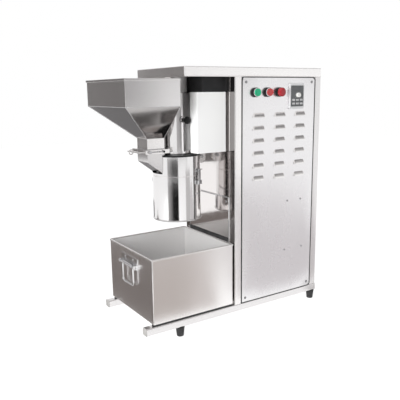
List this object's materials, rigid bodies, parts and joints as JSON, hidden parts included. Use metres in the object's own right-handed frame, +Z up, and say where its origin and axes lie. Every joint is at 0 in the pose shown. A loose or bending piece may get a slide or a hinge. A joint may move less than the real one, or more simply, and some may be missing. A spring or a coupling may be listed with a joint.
{
  "type": "pulverizer",
  "caption": "Floor-standing pulverizer with feed hopper, slide gate, vertical grinding chamber, belt drive in a louvred cabinet and a pull-out powder bin.",
  "frame": {"origin": "on the floor, under the middle of the machine's outline", "axes": "+Z up, -Y out of the panel with the buttons, +X from the hopper towards the cabinet"},
  "size_m": [0.928, 0.4044, 1.04],
  "materials": {
    "steel": "brushed stainless sheet",
    "mirror_steel": "polished stainless sheet",
    "polished": "polished stainless tube",
    "shaft_steel": "ground steel",
    "screw": "bright plated steel",
    "bright_ring": "chromed",
    "cast": "machined iron",
    "black_paint": "black paint",
    "white_paint": "white paint",
    "motor_paint": "grey-blue paint",
    "rubber": "black rubber",
    "belt_rubber": "black rubber",
    "runner": "black slide strip",
    "dark_plastic": "grey moulded cap",
    "black_plastic": "black moulding",
    "green_plastic": "green moulding",
    "red_plastic": "red moulding",
    "white_plastic": "white moulding",
    "light_plastic": "light grey moulding",
    "face_plastic": "dark grey moulding",
    "lens": "red lens"
  },
  "bodies": {
    "machine": {"base_frame": "steel", "rail_caps": "dark_plastic", "feet": "rubber", "posts": "steel", "floor_plate": "steel", "front_panel": "steel", "panel_screws": "screw", "side_panel": "steel", "rear_panel": "steel", "bay_wall": "mirror_steel", "bay_cover": "mirror_steel", "deck": "steel", "top_cover": "steel", "button_collars": "black_plastic", "button_rings": "bright_ring", "lamp_lens": "lens", "control_frame": "light_plastic", "control_face": "face_plastic", "motor_body": "motor_paint", "belt": "belt_rubber", "spindle_bearings": "shaft_steel", "spindle_housing": "polished", "yoke": "black_paint", "bracket_box": "white_paint", "chamber_lid": "black_paint", "chamber_ring": "polished", "chamber_arm": "steel", "arm_bolt": "screw", "screen": "steel", "discharge_tube": "polished", "latch_mounts": "screw", "hopper": "steel", "hopper_bracket": "steel", "gate_frame": "steel", "chute": "steel"},
    "bin": {"bin": "steel", "bin_runners": "runner", "handle_plate": "bright_ring"},
    "bail": {"handle_bail": "bright_ring"},
    "gate": {"gate_plate": "steel"},
    "lever": {"gate_lever": "screw", "lever_ball": "black_plastic"},
    "start": {"start_cap": "green_plastic"},
    "stop": {"stop_cap": "red_plastic"},
    "motor_rotor": {"motor_shaft": "shaft_steel", "motor_pulley": "cast"},
    "spindle": {"spindle_shaft": "shaft_steel", "spindle_pulley": "cast", "rotor": "cast"},
    "knob": {"speed_knob": "white_plastic"},
    "clamp": {"clamp_knob": "black_plastic"},
    "latch_l": {"latch_left": "screw"},
    "latch_r": {"latch_right": "screw"},
    "key1": {"key_1": "light_plastic"},
    "key2": {"key_2": "light_plastic"},
    "key3": {"key_3": "light_plastic"},
    "key4": {"key_4": "light_plastic"},
    "key5": {"key_5": "light_plastic"},
    "key6": {"key_6": "light_plastic"}
  },
  "joints": [
    {"name": "bin_slide", "type": "slide", "parent": "machine", "child": "bin", "axis": [-1, 0, 0], "range_m": [0, 0.2]},
    {"name": "bail_fold", "type": "hinge", "parent": "bin", "child": "bail", "pos_m": [-0.397, 0.01125, 0.2764], "axis": [0, 1, 0], "range_deg": [0, 90]},
    {"name": "gate_slide", "type": "slide", "parent": "machine", "child": "gate", "axis": [-1, 0, 0], "range_m": [0, 0.07]},
    {"name": "lever_turn", "type": "hinge", "parent": "machine", "child": "lever", "pos_m": [-0.312, -0.04675, 0.7215], "axis": [0, -1, 0], "range_deg": [0, 90]},
    {"name": "start_press", "type": "slide", "parent": "machine", "child": "start", "axis": [0, 1, 0], "range_m": [0, 0.004], "stiffness_N_per_m": 900},
    {"name": "stop_press", "type": "slide", "parent": "machine", "child": "stop", "axis": [0, 1, 0], "range_m": [0, 0.004], "stiffness_N_per_m": 900},
    {"name": "knob_turn", "type": "hinge", "parent": "machine", "child": "knob", "pos_m": [0.31458, -0.17625, 0.9295], "axis": [0, -1, 0], "range_deg": [-135, 135]},
    {"name": "key1_press", "type": "slide", "parent": "machine", "child": "key1", "axis": [0, 1, 0], "range_m": [0, 0.001], "stiffness_N_per_m": 800},
    {"name": "key2_press", "type": "slide", "parent": "machine", "child": "key2", "axis": [0, 1, 0], "range_m": [0, 0.001], "stiffness_N_per_m": 800},
    {"name": "key3_press", "type": "slide", "parent": "machine", "child": "key3", "axis": [0, 1, 0], "range_m": [0, 0.001], "stiffness_N_per_m": 800},
    {"name": "key4_press", "type": "slide", "parent": "machine", "child": "key4", "axis": [0, 1, 0], "range_m": [0, 0.001], "stiffness_N_per_m": 800},
    {"name": "key5_press", "type": "slide", "parent": "machine", "child": "key5", "axis": [0, 1, 0], "range_m": [0, 0.001], "stiffness_N_per_m": 800},
    {"name": "key6_press", "type": "slide", "parent": "machine", "child": "key6", "axis": [0, 1, 0], "range_m": [0, 0.001], "stiffness_N_per_m": 800},
    {"name": "spindle_spin", "type": "hinge", "parent": "machine", "child": "spindle", "pos_m": [-0.161, 0.01125, 0.62], "axis": [0, 0, 1], "continuous": true},
    {"name": "motor_spin", "type": "hinge", "parent": "machine", "child": "motor_rotor", "pos_m": [0.229, 0.01125, 1.003], "axis": [0, 0, 1], "continuous": true},
    {"name": "clamp_turn", "type": "hinge", "parent": "machine", "child": "clamp", "pos_m": [-0.161, -0.04775, 0.839], "axis": [0, -1, 0], "range_deg": [-180, 180]},
    {"name": "latch_l_swing", "type": "hinge", "parent": "machine", "child": "latch_l", "pos_m": [-0.214, 0.10305, 0.59], "axis": [-0.866, -0.5, 0], "range_deg": [0, 120]},
    {"name": "latch_r_swing", "type": "hinge", "parent": "machine", "child": "latch_r", "pos_m": [-0.108, -0.08055, 0.59], "axis": [0.866, 0.5, 0], "range_deg": [0, 120]}
  ],
  "couplings": [
    {"joint": "motor_spin", "follows": "spindle_spin", "ratio": 0.63333}
  ]
}
